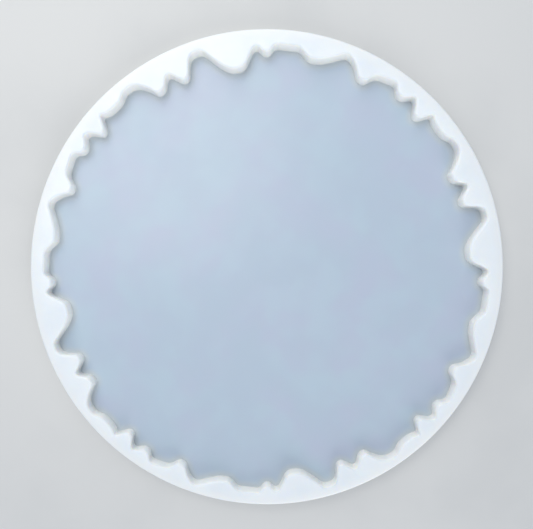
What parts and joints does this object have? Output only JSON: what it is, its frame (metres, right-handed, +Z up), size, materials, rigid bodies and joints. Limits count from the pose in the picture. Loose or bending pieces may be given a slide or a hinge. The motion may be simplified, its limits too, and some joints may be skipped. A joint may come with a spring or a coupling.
{
  "type": "resin casting mould",
  "caption": "Round flexible tray mould with a ragged, geode-like inner edge, for casting a resin tray, coaster or clock face.",
  "frame": {"origin": "centre of the mould's outer circle, on the flat underside", "axes": "+Z up out of the open cavity; +X points at a small lobe of the ragged edge, and the edge repeats every quarter turn about Z"},
  "size_m": [0.3, 0.3, 0.012],
  "materials": {
    "rim_silicone": "satin, thick translucent white silicone",
    "floor_silicone": "smooth, thin translucent silicone that reads blue-grey"
  },
  "bodies": {
    "root": {"rim_wall": "rim_silicone", "cavity_floor": "floor_silicone"}
  },
  "joints": []
}
